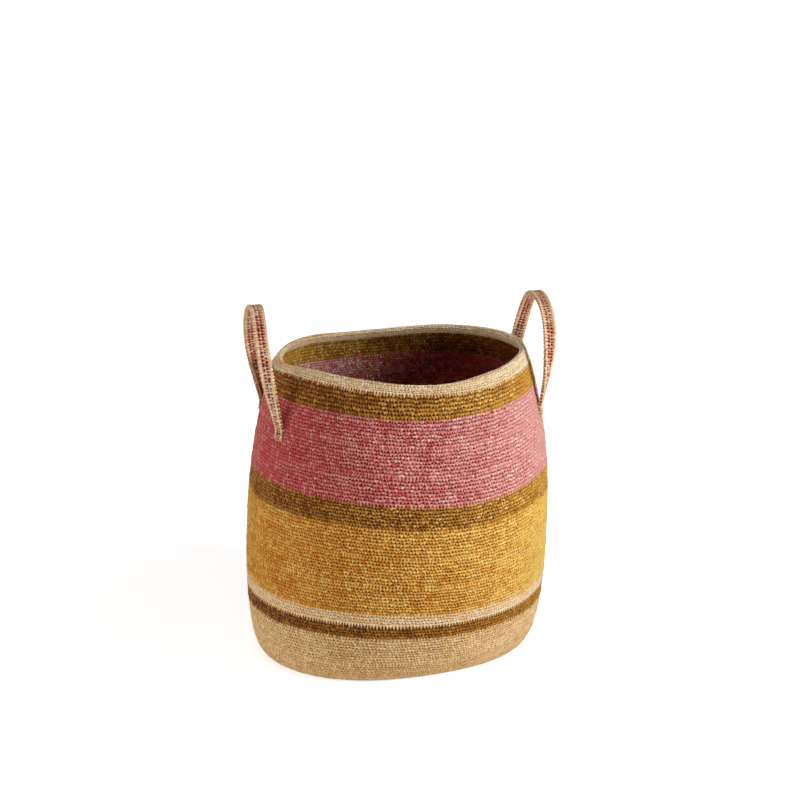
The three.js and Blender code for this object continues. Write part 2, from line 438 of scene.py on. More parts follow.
# %% Points of the soft basket
DENT_DEPTH = 0.0009
DENT_FADE = 0.08
# Waves round the wall, their turn for each metre of height, and their start
BROAD_DENTS = ((5, 9, 0), (3, -16, 1))
FINE_DENTS = ((11, 40, 2), (8, -31, 0))
FINE_SHARE = 0.5
BASE_SINK = 0.0013
SINK_FADE = 0.02
FLOOR_MARGIN = 0.0005
TINY = 1e-9


def add_waves(waves, height, angle):
    """The sum of some waves over the wall."""
    return sum(np.sin(count * angle + turn * height + start) for count, turn, start in waves)


def dent(height, angle):
    """Shallow dents of the soft wall, none at the base."""
    fade = np.clip(height / DENT_FADE, 0, 1)
    broad = add_waves(BROAD_DENTS, height, angle)
    fine = add_waves(FINE_DENTS, height, angle)
    return DENT_DEPTH * fade * (broad + FINE_SHARE * fine) / 2


def on_plan(place, normal, bump, angle):
    """Points of the soft basket from a place and normal on its outline, a bump and an angle."""
    radius, height = place[..., 0], place[..., 1]
    flatten = np.clip(1 - height / SINK_FADE, 0, 1) * np.clip(-normal[..., 1], 0, 1)
    outward = bump + dent(height, angle) * np.sign(normal[..., 0] + TINY) - BASE_SINK * flatten
    in_base = height < WALL_THICKNESS + FLOOR_MARGIN
    swollen = np.where(in_base, np.clip(radius / BASE_RADIUS, 0, 1), 1)
    radius = radius + normal[..., 0] * outward + swell(height, angle) * swollen
    height = height + normal[..., 1] * outward + lift(height, angle)
    return np.stack([radius * np.cos(angle), radius * np.sin(angle), height], -1)


print("dents of", round(1000 * DENT_DEPTH, 1), "mm")

# %% [markdown]
# ## One stitch
# A single crochet stitch shows as a V: two plump legs that rise from a point, with a dark hole at
# each lower corner, where the hook went in. It is modelled once on a small grid, by lifting and
# sinking its points. A grid is enough, because the legs are never seen from behind.

# %% Model the stitch
STITCH_GRID = 4
FRONT_ROWS = 4
BACK_ROWS = 2
# Points of the grid by column and row, and how far they are lifted in metres
FRONT_RELIEF = (
    (((0, 0),), -0.0027),
    (((1, 0), (3, 0)), -0.0016),
    (((0, 1),), -0.0021),
    (((2, 0),), 0.0004),
    (((1, 1), (3, 1)), 0.0001),
    (((2, 1),), 0.0006),
    (((0, 2),), 0.0001),
    (((1, 2), (3, 2)), 0.0007),
    (((2, 2),), 0.0001),
    (((0, 3),), -0.0016),
    (((1, 3), (3, 3)), 0.0004),
    (((2, 3),), -0.0004),
)
BACK_RELIEF = (
    (((0, 0),), -0.0024),
    (((1, 0), (3, 0)), -0.0010),
    (((2, 0),), 0.0002),
    (((0, 1),), -0.0003),
    (((1, 1), (3, 1)), 0.0006),
    (((2, 1),), 0.0009),
)


def model_stitch(rows, relief):
    """Lifts the points of a grid one step wide, and returns their heights by row and column."""
    bpy.ops.object.select_all(action="DESELECT")
    bpy.ops.mesh.primitive_grid_add(
        x_subdivisions=STITCH_GRID, y_subdivisions=rows, size=1, location=(0.5, 0.5, 0),
    )
    bpy.ops.object.transform_apply(location=True, rotation=False, scale=False)
    stitch = bpy.context.object
    for places, height in relief:
        for vertex in stitch.data.vertices:
            place = (round(vertex.co.x * STITCH_GRID), round(vertex.co.y * rows))
            vertex.select = place in places
        for element in (*stitch.data.edges, *stitch.data.polygons):
            element.select = False
        bpy.ops.object.mode_set(mode="EDIT")
        bpy.ops.transform.translate(value=(0, 0, height))
        bpy.ops.object.mode_set(mode="OBJECT")
    heights = np.zeros((rows, STITCH_GRID))
    for vertex in stitch.data.vertices:
        column, row = round(vertex.co.x * STITCH_GRID), round(vertex.co.y * rows)
        if column < STITCH_GRID and row < rows:
            heights[row, column] = vertex.co.z
    bpy.data.objects.remove(stitch)
    return heights


front_stitch = model_stitch(FRONT_ROWS, FRONT_RELIEF)
back_stitch = model_stitch(BACK_ROWS, BACK_RELIEF)
print("stitch: deepest", round(float(front_stitch.min()) * 1000, 2), "mm, highest",
      round(float(front_stitch.max()) * 1000, 2), "mm")

# %% [markdown]
# ## Strips of husk
# One strip of husk makes a dozen stitches or so before the next is joined in, and strips take the
# dye unevenly. So the tone runs along a round in short lengths, and here and there a pale fleck
# shows, partly where the dye hardly took and partly as a painted glint where light catches the husk.
# Both are stored on the faces, for the finish to read.

# %% Tones along the yarn
STRIP_LENGTH = (5, 16)
STRIP_SPREAD = 0.22
STITCH_SPREAD = 0.5
FLECK_SHAPE = (1.2, 1.6)


def strip_tones(rng, count, fleck_share):
    """Tone from -1 to 1, and pale fleck from 0 to 1, partly a painted glint, of each stitch along a
    length of yarn.
    """
    tone = np.zeros(count)
    fleck_and_glint = np.zeros(count)
    start = 0
    while start < count:
        end = start + rng.integers(*STRIP_LENGTH)
        tone[start:end] = rng.normal(0, STRIP_SPREAD)
        start = end
    tone += rng.normal(0, STITCH_SPREAD, count)
    for stitch in np.flatnonzero(rng.random(count) < fleck_share):
        fleck_and_glint[stitch] = rng.beta(*FLECK_SHAPE)
    return np.clip(tone, -1, 1), fleck_and_glint


print("strips of", STRIP_LENGTH[0], "to", STRIP_LENGTH[1] - 1, "stitches")

# %% [markdown]
# ## From a net of points to a mesh
# Every crocheted piece here is a net of points: columns along the yarn and rows round the piece's
# section. Joining each point to its neighbours closes it, with no loose edges. The net also gives
# each piece two maps: one in metres for the husk's grain, and one packed square for baking.

# %% Faces and maps of a net
BAKE_MARGIN = 0.01


def net_faces(rows, columns, ring):
    """Corners of each face of a net whose rows close on themselves, and whose columns do in a ring."""
    row = np.arange(rows)[:, None]
    column = np.arange(columns if ring else columns - 1)[None, :]
    right = (column + 1) % columns
    above = (row + 1) % rows
    corners = (
        row * columns + column,
        row * columns + right,
        above * columns + right,
        above * columns + column,
    )
    return np.stack(corners, -1).reshape(-1, 4), column.size


def net_maps(points, across):
    """The grain map in metres and the bake map, for the four corners of each face.

    A long net is cut into rolls on the bake map, one above the other, so that it fills a square."""
    rows = len(points)
    steps = np.linalg.norm(np.diff(points, axis=0, append=points[:1]), axis=-1).mean(1)
    up = np.concatenate([[0], np.cumsum(steps)])
    pace = np.linalg.norm(np.diff(points, axis=1), axis=-1).mean()
    rolls = max(1, round(math.sqrt(across * pace / up[-1])))
    column = np.arange(across)
    roll = column * rolls // across
    left = column - roll * across / rolls
    corner_u = np.array([0, 1, 1, 0])
    corner_v = np.array([0, 0, 1, 1])
    u = column[None, :, None] + corner_u + np.zeros((rows, 1, 1))
    v = up[np.arange(rows)[:, None, None] + corner_v] + np.zeros((1, across, 1))
    grain = np.stack([u * pace, v], -1)
    inner = 1 - 2 * BAKE_MARGIN
    packed_u = BAKE_MARGIN + inner * (left[None, :, None] + corner_u) * rolls / across
    packed_v = (roll[None, :, None] + BAKE_MARGIN + inner * v / up[-1]) / rolls
    packed = np.stack([packed_u + np.zeros((rows, 1, 1)), packed_v], -1)
    return grain.reshape(-1, 2), np.clip(packed, 0, 1).reshape(-1, 2)


print("bake maps keep a margin of", BAKE_MARGIN)

# %% [markdown]
# ## The mesh itself
# The points and faces become a mesh in one call, because a band has tens of thousands of them. Three
# numbers go with it for the finish: each face's tone and pale fleck, partly a painted glint, and the
# painted shade of each point by its depth in a hole.
# A ring of crochet closes by itself. A strap has two ends, which get a cap each.

# %% Net to mesh
SPARE_CORNER = 0.999


def add_values(mesh, name, domain, values):
    """Stores one number for each point or face, for the finish to read."""
    layer = mesh.attributes.new(name, "FLOAT", domain)
    layer.data.foreach_set("value", np.ascontiguousarray(values, np.float32).ravel())


def net_mesh(name, points, painted_shade, tone, fleck_and_glint, ring=True):
    """A new object from a net of points, with its finish values and maps."""
    rows, columns = points.shape[:2]
    faces, across = net_faces(rows, columns, ring)
    caps = [] if ring else [
        list(range((rows - 1) * columns, -1, -columns)),
        list(range(columns - 1, rows * columns, columns)),
    ]
    mesh = bpy.data.meshes.new(name)
    mesh.from_pydata(points.reshape(-1, 3).tolist(), [], faces.tolist() + caps)
    spare = [0] * len(caps)
    add_values(mesh, "painted_shade", "POINT", painted_shade)
    add_values(mesh, "tone", "FACE", np.concatenate([tone[:, :across].ravel(), spare]))
    add_values(mesh, "fleck_and_glint", "FACE", np.concatenate([fleck_and_glint[:, :across].ravel(), spare]))
    spare_corners = np.full((sum(len(cap) for cap in caps), 2), SPARE_CORNER)
    for layer, corners in zip(("grain", "OFBake"), net_maps(points, across)):
        loops = np.concatenate([corners, spare_corners]).astype(np.float32)
        mesh.uv_layers.new(name=layer).uv.foreach_set("vector", loops.ravel())
    mesh.shade_smooth()
    made = bpy.data.objects.new(name, mesh)
    bpy.context.collection.objects.link(made)
    return made


def triangles(piece):
    """How many triangles a piece has."""
    piece.data.calc_loop_triangles()
    return len(piece.data.loop_triangles)


print("net tools ready")

# %% [markdown]
# ## Uneven stitches
# No two handmade stitches are alike. Each is pulled tighter or looser, and its hole is wider or
# narrower. Where a new colour starts, its first stitches also dip into the round below, which gives
# the join between two bands its small teeth.

# %% Loosen the stitches
TENSION_SPREAD = 0.4
HOLE_SPREAD = (0.4, 1.3)
DEEPEST_HOLE = -0.0029
# Columns of a stitch, and their share of its dip
SPIKE_SHAPE = ((1, 0.5), (2, 1), (3, 0.5))
SPIKE_REACH = (0.0006, 0.0042)


def pull_stitches(relief, brick, of_row, shape, rng):
    """Heights of all points, with each stitch's own tension and its own depth of hole.

    The brick is each point's column, moved by half a stitch in every other round."""
    stitch = brick // STITCH_GRID
    tension = 1 + rng.uniform(-TENSION_SPREAD, TENSION_SPREAD, shape)
    bump = np.take_along_axis(relief, brick % STITCH_GRID, 1) * tension[of_row, stitch]
    holes = rng.uniform(*HOLE_SPREAD, shape)
    bump = np.where(bump < 0, bump * holes[of_row, stitch], bump)
    return np.maximum(bump, DEEPEST_HOLE)


def dip_stitches(shape, rng):
    """How far each point of the first row dips into the round below."""
    dips = np.zeros(shape)
    for offset, share in SPIKE_SHAPE:
        dips[0, offset::STITCH_GRID] = share
    dips[0] *= np.repeat(rng.uniform(*SPIKE_REACH, shape[1] // STITCH_GRID), STITCH_GRID)
    return dips


print("tension varies by", TENSION_SPREAD)

# %% [markdown]
# ## Painted shade in the holes, and strays
# The finish paints shade into the holes and a highlight onto the crests, so it has to know how deep
# in a hole each point lies. Each stitch also strays a little from its place. Its offset blends into
# those of its neighbours, because they share their yarn, and it ends at the edges of a band, so that
# the next band can join there.

# %% Holes and strays
# Depths at which the painted shade of a hole starts and is full, and the painted highlight on the
# crests
SHADE_FROM = 0.0001
SHADE_FULL = 0.0013
CREST_HIGHLIGHT = -0.45


def paint_hole_shade(bump):
    """Painted shade of each point, by how deep it lies in the holes between stitches, up to 1, and a
    painted highlight below 0 on the crests.
    """
    return np.clip((-bump - SHADE_FROM) / (SHADE_FULL - SHADE_FROM), CREST_HIGHLIGHT, 1)


def wander(rng, amount, turn, stitches):
    """An offset for each point, at random from stitch to stitch, and none at the first and last row."""
    rounds = math.ceil(turn.max())
    values = rng.uniform(-amount, amount, (rounds + 1, stitches))
    values[[0, -1]] = 0
    low = np.clip(turn.astype(int), 0, rounds - 1)
    above = (turn - low)[:, None]
    by_row = values[low] * (1 - above) + values[low + 1] * above
    column = np.arange(STITCH_GRID * stitches)
    stitch = column // STITCH_GRID
    ahead = column % STITCH_GRID / STITCH_GRID
    return by_row[:, stitch] * (1 - ahead) + by_row[:, (stitch + 1) % stitches] * ahead


print("holes are darkest from", round(1000 * SHADE_FULL, 1), "mm deep")

# %% [markdown]
# ## Dye and painted glints on the stitches
# A fleck covers half of one stitch, on the legs of its V. On the inside about every other stitch has
# one, whatever its colour, and these are painted glints where light catches the backs of the stitches.
# Chance decides which, from a fixed seed for each piece, so that every run gives the same basket.

# %% Dye the stitches
# Share of the stitches inside that get a pale mark, as a painted glint
INSIDE_GLINTS = 0.5
LEG_ROWS = (1, 2)


def round_of(turn, rounds):
    """Which round each row of points belongs to."""
    return np.clip(turn.astype(int), 0, rounds - 1)[:, None]


def dye_stitches(turn, inside, brick, shape, fleck_share, rng):
    """Tone of each face, and its pale fleck, which is partly a painted glint."""
    stitch = brick // STITCH_GRID
    of_face = round_of((turn + np.roll(turn, -1)) / 2, shape[0])
    tone, outer_fleck_and_glint = strip_tones(rng, shape[0] * shape[1], fleck_share)
    # On the inside the pale flecks are painted glints
    inner_glint = rng.random(shape) * (rng.random(shape) < INSIDE_GLINTS)
    fleck_and_glint = np.where(
        inside[:, None],
        inner_glint[of_face, stitch],
        outer_fleck_and_glint.reshape(shape)[of_face, stitch],
    )
    row = (np.arange(len(turn)) % FRONT_ROWS)[:, None]
    half = rng.integers(0, 2, shape)[of_face, stitch]
    on_leg = inside[:, None] | np.isin(row, LEG_ROWS)
    shown = on_leg & (brick % STITCH_GRID // 2 == half)
    return tone.reshape(shape)[of_face, stitch], fleck_and_glint * shown


print("flecks on", INSIDE_GLINTS, "of the stitches inside")

# %% [markdown]
# ## Rounds of crochet
# A band is a number of rounds of one colour. The stitches of a round sit between those of the round
# below, like bricks, and the columns drift sideways as they rise, as crochet in the round does. The
# colour is painted paler towards the basket's right, where the main light falls, and deeper towards
# its left, and on the inside the other way round: painted light and shade.

# %% Lay rounds of stitches
STITCH_DRIFT = 0.14
STITCH_STRAY = 0.36
ROUND_STRAY = 0.0011
COLUMN_SWAY = 0.5
SWAY_WAVES = 7
SWAY_TWIST = 0.23
SPIKE_RAISE = 0.0007
# Painted shade of the holes on the inside
INSIDE_SHADE = 0.8
# Painted light and shade round the basket: its sign on the inside, and the angle where it is lightest
INSIDE_PAINTED_LIGHT = -1.2
PAINTED_LIGHT_ANGLE = math.radians(8)
# How many more pale flecks show as painted glints on the lit side
GLINT_TOWARDS_LIGHT = 0.9


def lay_stitches(name, rows, stitches, fleck_share, rng, fade=0):
    """A closed ring of crochet over rows of points that run round its section.

    A row is its place (radius and height), its normal, its count of rounds, its stitch relief and
    whether it is on the inside. The fade is painted light and shade: how much paler the colour is
    painted on the side where the main light falls, and deeper on the other side."""
    place, normal, turn, relief, inside = rows
    shape = (math.ceil(turn.max()), stitches)
    columns = STITCH_GRID * stitches
    column = np.arange(columns)[None, :]
    of_row = round_of(turn, shape[0])
    brick = (column + of_row % 2 * (STITCH_GRID // 2)) % columns
    bump = pull_stitches(relief, brick, of_row, shape, rng)
    dips = dip_stitches(bump.shape, rng)
    bump += np.sign(dips) * SPIKE_RAISE
    along = np.stack([-normal[:, 1], normal[:, 0]], -1)
    rise = wander(rng, ROUND_STRAY, turn, stitches) - dips
    spots = place[:, None, :] + rise[..., None] * along[:, None, :]
    stray = wander(rng, STITCH_STRAY, turn, stitches)
    drift = STITCH_GRID * (STITCH_DRIFT * turn[:, None] + stray)
    level = 2 * math.pi * (column + drift) / columns
    sway = STITCH_GRID * COLUMN_SWAY * np.sin(SWAY_WAVES * level + SWAY_TWIST * turn[:, None])
    angle = level + 2 * math.pi * sway / columns
    points = on_plan(spots, normal[:, None, :], bump, angle)
    tone, fleck_and_glint = dye_stitches(turn, inside, brick, shape, fleck_share, rng)
    # Painted light and shade: above 0 where the main light falls, below 0 opposite, turned round inside
    towards_light = np.cos(level - PAINTED_LIGHT_ANGLE) * np.where(inside, INSIDE_PAINTED_LIGHT, 1)[:, None]
    # Painted shade in the holes and painted highlight on the crests
    painted_shade = paint_hole_shade(bump) * np.where(inside, INSIDE_SHADE, 1)[:, None]
    # More pale flecks on the lit side, as painted glints
    return net_mesh(name, points, painted_shade, tone + fade * towards_light, fleck_and_glint * (1 + GLINT_TOWARDS_LIGHT * towards_light))


print("rounds drift", STITCH_DRIFT, "of a stitch each")

# %% [markdown]
# ## The two faces of the fabric
# The outside shows the V of the stitch and the inside the plainer back of it. Near the mouth, where
# the inside can be seen, it gets the finer stitch too. There the rounds also show a little higher on
# the inside than on the outside, as in the photograph.

# %% Rows of the fabric
ROUND_SPREAD = 0.07
INSIDE_DEPTHS = (0, 0.0143, 0.038)
INSIDE_RISES = (0, 0.0065, 0)


def inside_shift(distance):
    """How much higher a round shows on the inside of the mouth than on its outside."""
    return np.interp(reach[-1] - distance, INSIDE_DEPTHS, INSIDE_RISES)


def fabric_rows(low, high, rounds, strength, rng, inner_stitch=back_stitch):
    """Rows of a fabric between two distances along the outline, up its outside and down its inside."""
    steps = 1 + rng.uniform(-ROUND_SPREAD, ROUND_SPREAD, rounds)
    edges = low + (high - low) * np.concatenate([[0], np.cumsum(steps)]) / steps.sum()
    inner_rows = len(inner_stitch)
    up = np.arange(FRONT_ROWS * rounds + 1)
    down = np.arange(inner_rows * rounds, -1, -1)
    turn = np.concatenate([up / FRONT_ROWS, down / inner_rows])
    inside = np.arange(len(turn)) >= len(up)
    distance = np.interp(turn, np.arange(rounds + 1), edges)
    place, normal = on_outline(distance + np.where(inside, inside_shift(distance), 0))
    place[inside] -= normal[inside] * WALL_THICKNESS
    normal[inside] *= -1
    relief = np.concatenate([front_stitch[up % FRONT_ROWS], inner_stitch[down % inner_rows]])
    return place, normal, turn, relief * strength, inside


print("round heights vary by", ROUND_SPREAD)

# %% [markdown]
# ## The grain of husk
# Husk is a leaf, so fine lines run along each strip, and blotches show where it has dried unevenly.
# Both are noise on the grain map: one stretched along the yarn, and one as long as a dozen stitches.

# %% Grain and blotches
GRAIN_PITCH = 0.0009
GRAIN_LENGTH = 0.007
GRAIN_DETAIL = 3
BLOTCH_SCALE = 22
BLOTCH_DETAIL = 2


def husk_noises(start):
    """The grain and the blotches of husk, each from about 0 to 1."""
    place = start.node("ShaderNodeUVMap", {"uv_map": "grain"})
    stretch = (1 / GRAIN_LENGTH, 1 / GRAIN_PITCH, 1)
    stretched = start.node("ShaderNodeMapping", {}, {"Vector": place, "Scale": stretch})
    fine = {"Vector": stretched, "Scale": 1, "Detail": GRAIN_DETAIL}
    broad = {"Vector": place, "Scale": BLOTCH_SCALE, "Detail": BLOTCH_DETAIL}
    return start.node("ShaderNodeTexNoise", {}, fine), start.node("ShaderNodeTexNoise", {}, broad)


print("husk grain", round(1000 * GRAIN_PITCH, 1), "mm wide")

# %% [markdown]
# ## The husk finish
# Husk is dry and matte, with a faint satin sheen. Dye soaks in unevenly, so each colour here is a
# range between a deep and a light tone, with a pale one for the flecks, which partly stand in as
# painted glints. The holes between stitches get painted shade, and the crests a painted highlight.

# %% Husk finish
NOISE_MIDDLE = 0.5
TONE_MIDDLE = 0.5
TONE_WEIGHT = 0.4
GRAIN_WEIGHT = 0.6
BLOTCH_WEIGHT = 0.25
# How far painted shade in the holes and painted highlight on the crests pull the tone
SHADE_WEIGHT = 0.8
# Pale flecks, partly painted glints
FLECK_FROM = 0.38
FLECK_STRENGTH = 14.4
# Painted shade of the holes, patchy with the grain
HOLE_SHADE = 2.2
HOLE_GRAIN = 0.8
ROUGHNESS = 0.5
GRAIN_ROUGHNESS = 0.25
HOLE_ROUGHNESS = 0.2
BUMP_STRENGTH = 0.35
BUMP_DEPTH = 0.0004
SPECULAR = 0.14


def husk_finish(name, deep, light, pale, shade):
    """A dyed husk finish, from its deep tone to its light one, with pale flecks that are partly painted
    glints, painted shade in the holes and a painted highlight on the crests.
    """
    material = bpy.data.materials.new(name)
    material.use_nodes = True
    tree = material.node_tree
    shader = tree.nodes["Principled BSDF"]
    start = Socket(tree)
    tone, fleck_and_glint, painted_shade = (
        start.node("ShaderNodeAttribute", {"attribute_name": value}, output="Fac")
        for value in ("tone", "fleck_and_glint", "painted_shade")
    )
    grain, blotch = husk_noises(start)
    uneven = (grain - NOISE_MIDDLE) * GRAIN_WEIGHT + (blotch - NOISE_MIDDLE) * BLOTCH_WEIGHT
    # Painted shade in the holes deepens the tone, and painted highlight on the crests lightens it
    share = TONE_MIDDLE + tone * TONE_WEIGHT + uneven - painted_shade * SHADE_WEIGHT
    dyed = share.mix(deep, light)
    # Pale flecks, partly painted glints
    flecked_and_glinting = (fleck_and_glint * (blotch - FLECK_FROM) * FLECK_STRENGTH * grain).mix(dyed, pale)
    # Painted shade in the holes, patchy with the grain and the blotches
    shade_patches = (1 - HOLE_GRAIN) + grain * HOLE_GRAIN - (blotch - NOISE_MIDDLE)
    shaded = (painted_shade * HOLE_SHADE * shade_patches).mix(flecked_and_glinting, shade)
    tree.links.new(shaded.socket, shader.inputs["Base Color"])
    rough = ROUGHNESS + grain * GRAIN_ROUGHNESS + painted_shade * HOLE_ROUGHNESS
    tree.links.new(rough.socket, shader.inputs["Roughness"])
    bump = start.node(
        "ShaderNodeBump", {}, {"Height": grain, "Strength": BUMP_STRENGTH, "Distance": BUMP_DEPTH},
    )
    tree.links.new(bump.socket, shader.inputs["Normal"])
    shader.inputs["Specular IOR Level"].default_value = SPECULAR
    return material


print("finish: roughness from", ROUGHNESS)

# %% [markdown]
# ## The dyes
# The maker uses undyed, cream, brown, mustard, olive and pink husk. The rim is paler than the heel,
# and the cream and pink of the straps are a little deeper than those of the wall, so these have
# finishes of their own.

# %% Dyes
PICKER_WHITE = 255
# Deep tone, light tone, flecks and glints, and the painted shade of the holes, as a colour picker shows
# them
DYES = {
    "natural": ((206, 157, 94), (248, 214, 160), (252, 234, 198), (126, 76, 32)),
    "cream": ((238, 184, 116), (246, 226, 188), (254, 240, 212), (152, 100, 54)),
    "brown": ((96, 38, 5), (188, 129, 46), (212, 166, 98), (42, 14, 2)),
    "mustard": ((202, 120, 18), (244, 204, 106), (250, 222, 148), (92, 32, 1)),
    "olive": ((120, 57, 6), (210, 154, 62), (244, 206, 124), (44, 14, 1)),
    "pink": ((193, 73, 69), (234, 165, 157), (252, 226, 212), (90, 14, 12)),
    "rim": ((230, 176, 114), (252, 235, 200), (254, 244, 220), (146, 92, 47)),
    "strap_cream": ((198, 144, 98), (246, 208, 164), (250, 226, 190), (118, 64, 34)),
    "strap_pink": ((164, 66, 54), (238, 164, 138), (248, 214, 184), (88, 18, 12)),
}


def colour(*picked):
    """A colour as a shader takes it, from the red, green and blue that a colour picker shows."""
    shares = [value / PICKER_WHITE for value in picked]
    return (*Color(shares).from_srgb_to_scene_linear(), 1)


husk = {}
for name, tones in DYES.items():
    husk[name] = husk_finish(f"{name}_husk", *(colour(*tone) for tone in tones))
print("finishes:", ", ".join(husk))

# %% [markdown]
# ## A piece in the place of a solid
# The imported solids are plain rings and bars, and crochet hides every one of them. A piece gets its
# finish, the solid that it hides, and the body that it rides on. All but the straps ride on the
# basket itself.

# %% Mount a piece


def mount_piece(piece, finish, node):
    """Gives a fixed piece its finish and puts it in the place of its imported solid."""
    piece.data.materials.append(husk[finish])
    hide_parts(node)
    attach(piece, "basket")


print("solids to hide:", len(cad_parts))

# %% [markdown]
# ## The bands of the wall
# From the floor up: an undyed heel, a brown and a cream stripe, a wide mustard band, olive, a wide
# pink band, olive again and an undyed rim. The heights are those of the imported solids. A wide band
# is made in a few tiers, so that no mesh grows too heavy to hand on.

# %% Bands
ROUND_HEIGHT = 0.00385
STITCH_WIDTH = 0.0036
MOST_STITCHES = 4000
MOST_SEEN_STITCHES = 3000
SEEN_INSIDE = ("pink_band", "upper_olive_band", "rim_band")
BAND_SEED = 100
SEED_STEP = 10
# Imported solid, height, finish, share of flecked stitches, depth of relief, and fade: painted light
# and shade round the basket
BANDS = (
    ("heel_band", 0.065, "natural", 0.1, 0.9, 0.15),
    ("brown_band", 0.016, "brown", 0.2, 1, 0.8),
    ("cream_band", 0.015, "cream", 0.1, 0.9, 0.4),
    ("mustard_band", 0.102, "mustard", 0.2, 1, 0.85),
    ("lower_olive_band", 0.026, "olive", 0.6, 1, 1),
    ("pink_band", 0.0905, "pink", 0.6, 1, 1.4),
    ("upper_olive_band", 0.022, "olive", 0.6, 1, 1.3),
    ("rim_band", 0.009, "rim", 0.1, 0.8, 0.3),
)


def stitches_round(distance):
    """How many stitches go once round the basket at a distance along the outline."""
    return round(2 * math.pi * on_outline(np.array([distance]))[0][0, 0] / STITCH_WIDTH)


def crochet_band(node, bottom, top, finish, fleck_share, strength, fade, seed):
    """All the rounds of one colour, in tiers of about equal height."""
    low = BASE_RADIUS if bottom == 0 else reach_at(bottom)
    high = reach_at(top)
    rounds = round((high - low) / ROUND_HEIGHT)
    stitches = stitches_round((low + high) / 2)
    seen = node in SEEN_INSIDE
    tiers = math.ceil(rounds * stitches / (MOST_SEEN_STITCHES if seen else MOST_STITCHES))
    first = 0
    for tier in range(tiers):
        rng = np.random.default_rng(seed + tier)
        count = (rounds - first) // (tiers - tier)
        ends = [low + (high - low) * (first + n) / rounds for n in (0, count)]
        name = node.replace("_band", "_rounds") + ("" if tiers == 1 else f"_{tier + 1}")
        rows = fabric_rows(*ends, count, strength, rng, front_stitch if seen else back_stitch)
        piece = lay_stitches(name, rows, stitches, fleck_share, rng, fade)
        mount_piece(piece, finish, node)
        first += count
        print(name, count, "rounds of", stitches, "stitches,", triangles(piece), "triangles")


bands_top = 0
for index, (node, height, *look) in enumerate(BANDS):
    crochet_band(node, bands_top, bands_top + height, *look, seed=BAND_SEED + SEED_STEP * index)
    bands_top += height

# %% [markdown]
# ## The edging of the mouth
# The last round is worked over the cut edge of the fabric, so its stitches roll from the outside
# over the top to the inside. Its section is a short wall, a half circle and a short wall again.

# %% Rim edge
EDGE_ROUNDS = 5
EDGE_RELIEF = 0.75
# Painted light and shade of the edging round the basket
EDGE_PAINTED_LIGHT = 0.3
EDGE_SEED = 200
EDGE_SIDE_POINTS = 5
EDGE_ARC_POINTS = 9


def edge_rows():
    """Rows over the top of the wall, from the last band's outside to its inside."""
    side = np.linspace(reach_at(bands_top), reach[-1], EDGE_SIDE_POINTS)[:-1]
    outer, outer_normal = on_outline(side)
    inner = outer[::-1] - outer_normal[::-1] * WALL_THICKNESS
    top, top_normal = on_outline(reach[-1:])
    along = np.stack([-top_normal[:, 1], top_normal[:, 0]], -1)
    turned = np.linspace(0, math.pi, EDGE_ARC_POINTS)[:, None]
    arc_normal = top_normal * np.cos(turned) + along * np.sin(turned)
    arc = top - top_normal * WALL_THICKNESS / 2 + arc_normal * WALL_THICKNESS / 2
    path = np.concatenate([outer, arc, inner])
    path_normal = np.concatenate([outer_normal, arc_normal, -outer_normal[::-1]])
    length = distances(path)
    row = np.arange(FRONT_ROWS * EDGE_ROUNDS + 1)
    at = row / row[-1] * length[-1]
    place = read_off(at, length, path)
    normal = unit(read_off(at, length, path_normal))
    relief = front_stitch[row % FRONT_ROWS] * EDGE_RELIEF
    return place, normal, row / FRONT_ROWS, relief, np.zeros(len(row), bool)


edge_rng = np.random.default_rng(EDGE_SEED)
edge = lay_stitches("rim_edging", edge_rows(), stitches_round(reach[-1]), 0, edge_rng, EDGE_PAINTED_LIGHT)
mount_piece(edge, "rim", "rim_edge")
print("rim edging:", triangles(edge), "triangles")

# %% [markdown]
# ## The base
# Crochet in the round starts at the middle of the base, with a ring of a few stitches, and each
# round takes in more. Rings of a few rounds each, with more stitches in each ring, give the same.

# %% Base
BASE_RINGS = 12
INNER_RINGS = 9
FIRST_LOOP = 0.0008
BASE_RELIEF = 0.9
BASE_FLECKS = 0.02
BASE_SEED = 300


def crochet_ring(ring, low, high):
    """A few rounds of the base between two radii."""
    rng = np.random.default_rng(BASE_SEED + ring)
    rows = fabric_rows(low, high, round((high - low) / ROUND_HEIGHT), BASE_RELIEF, rng)
    stitches = stitches_round((low + high) / 2)
    return lay_stitches(f"base_ring_{ring}", rows, stitches, BASE_FLECKS, rng)


def join_pieces(pieces, name):
    """Makes one object of several."""
    bpy.ops.object.select_all(action="DESELECT")
    for piece in pieces:
        piece.select_set(True)
    bpy.context.view_layer.objects.active = pieces[0]
    bpy.ops.object.join()
    pieces[0].name = name
    return pieces[0]


def join_rings(rings, name):
    """One piece of the base from some of its rings, each on its own strip of the bake map."""
    for strip, ring in enumerate(rings):
        for corner in ring.data.uv_layers["OFBake"].uv:
            corner.vector.y = (strip + corner.vector.y) / len(rings)
    piece = join_pieces(rings, name)
    mount_piece(piece, "natural", "base_disc")
    print(name, triangles(piece), "triangles")


ring_edges = np.linspace(0, BASE_RADIUS, BASE_RINGS + 1)
ring_edges[0] = FIRST_LOOP
base_rings = [crochet_ring(ring, *ring_edges[ring:ring + 2]) for ring in range(BASE_RINGS)]
join_rings(base_rings[:INNER_RINGS], "base_rounds_1")
join_rings(base_rings[INNER_RINGS:], "base_rounds_2")

# %% [markdown]
# ## Places on the wall
# The straps are sewn to the wall, so each has to know where the wall is and which way it faces. A small
# step to both sides, and one up and down, give these directions at any place, whatever the shape.

# %% Places on the wall
SMALL_TURN = 0.002
SMALL_RISE = 0.001


def wall_point(angle, height):
    """Point on the outside of the wall."""
    radius = on_outline(reach_at(height))[0][0] + swell(height, angle)
    return np.array([radius * math.cos(angle), radius * math.sin(angle), height + lift(height, angle)])


